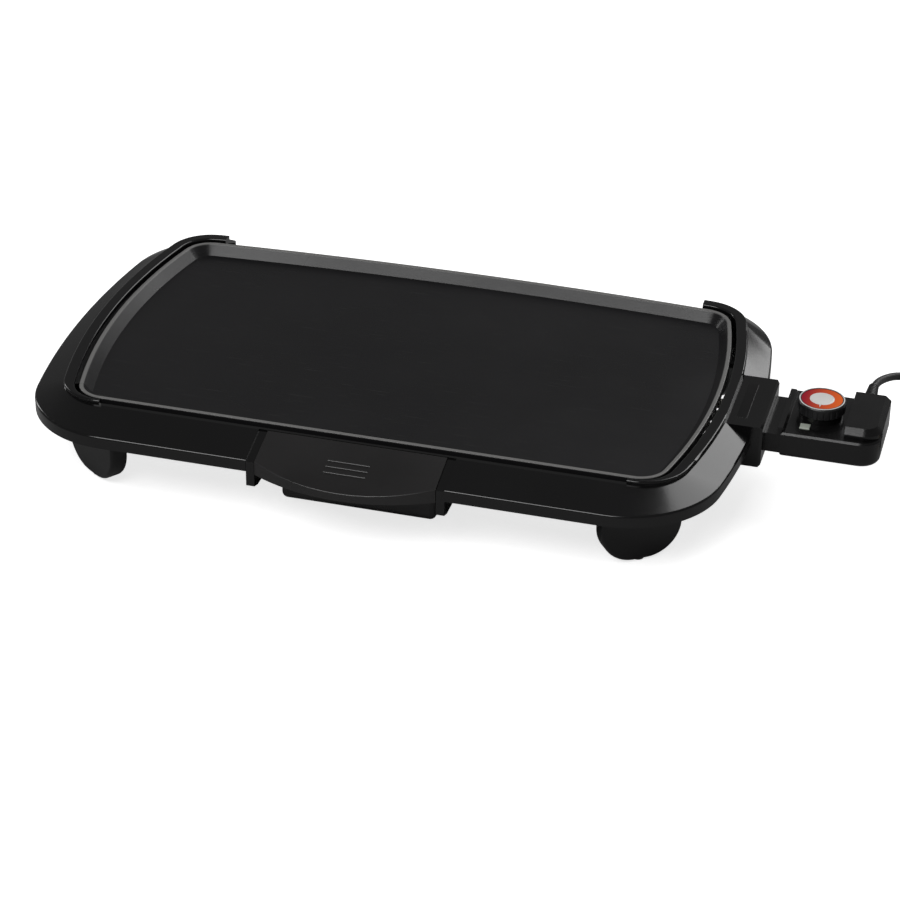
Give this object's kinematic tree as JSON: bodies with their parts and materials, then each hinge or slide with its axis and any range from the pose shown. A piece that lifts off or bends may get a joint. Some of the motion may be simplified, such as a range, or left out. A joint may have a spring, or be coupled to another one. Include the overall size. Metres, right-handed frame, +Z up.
{
  "type": "electric griddle",
  "caption": "Table-top electric griddle with a shallow cast cooking plate, a moulded frame on feet, a pull-out drip tray and a plug-in temperature probe on a short cord.",
  "frame": {"origin": "middle of the whole footprint, on the table", "axes": "+X along the length to the probe, +Y to the back, +Z up"},
  "size_m": [0.7795, 0.3745, 0.0805],
  "materials": {
    "griddle_coating": "satin",
    "element_sheath": "satin",
    "plated_steel": "satin",
    "ceramic": "matte",
    "shield_steel": "satin",
    "frame_plastic": "gloss",
    "screw_steel": "satin",
    "foot_rubber": "matte",
    "badge": "satin",
    "probe_plastic": "gloss",
    "contact_brass": "satin",
    "bimetal": "satin",
    "lamp_glass": "clear",
    "lens": "gloss",
    "knob_plastic": "satin",
    "dial_colour": "satin",
    "cap_white": "satin",
    "cord_jacket": "satin",
    "tie": "matte"
  },
  "bodies": {
    "base": {"griddle_plate": "griddle_coating", "heating_element": "element_sheath", "terminal_pins": "plated_steel", "terminal_beads": "ceramic", "probe_sleeve": "plated_steel", "heat_shield": "shield_steel", "base_frame": "frame_plastic", "plate_screws": "screw_steel", "foot_front_left": "frame_plastic", "foot_front_right": "frame_plastic", "foot_rear_left": "frame_plastic", "foot_rear_right": "frame_plastic", "foot_pad_front_left": "foot_rubber", "foot_pad_front_right": "foot_rubber", "foot_pad_rear_left": "foot_rubber", "foot_pad_rear_right": "foot_rubber", "foot_screws": "screw_steel", "tray_guide_left": "frame_plastic", "tray_guide_right": "frame_plastic", "guide_screws": "screw_steel", "socket_housing": "frame_plastic", "badge_plate": "badge", "socket_screws": "screw_steel"},
    "drip_tray": {"drip_tray": "frame_plastic"},
    "probe": {"probe_upper_shell": "probe_plastic", "probe_lower_shell": "probe_plastic", "probe_screws": "screw_steel", "contact_carrier": "ceramic", "receptacle_contacts": "contact_brass", "sensing_rod": "plated_steel", "thermostat_bracket": "shield_steel", "bimetal_strip": "bimetal", "contact_blades": "contact_brass", "insulator_discs": "ceramic", "neon_lamp": "lamp_glass", "indicator_lens": "lens", "strain_relief": "cord_jacket", "power_cord": "cord_jacket", "cord_coil": "cord_jacket", "cord_tail": "cord_jacket", "coil_tie": "tie", "plug_body": "cord_jacket", "plug_blades": "contact_brass"},
    "knob": {"thermostat_shaft": "plated_steel", "control_knob": "knob_plastic", "dial_ring": "dial_colour", "knob_cap": "cap_white"}
  },
  "joints": [
    {"name": "tray_slide", "type": "slide", "parent": "base", "child": "drip_tray", "axis": [0, -1, 0], "range_m": [0, 0.1]},
    {"name": "probe_pull", "type": "slide", "parent": "base", "child": "probe", "axis": [1, 0, 0], "range_m": [0, 0.09]},
    {"name": "knob_turn", "type": "hinge", "parent": "probe", "child": "knob", "pos_m": [0.28175, 0.01625, 0.075], "axis": [0, 0, -1], "range_deg": [0, 290]}
  ]
}
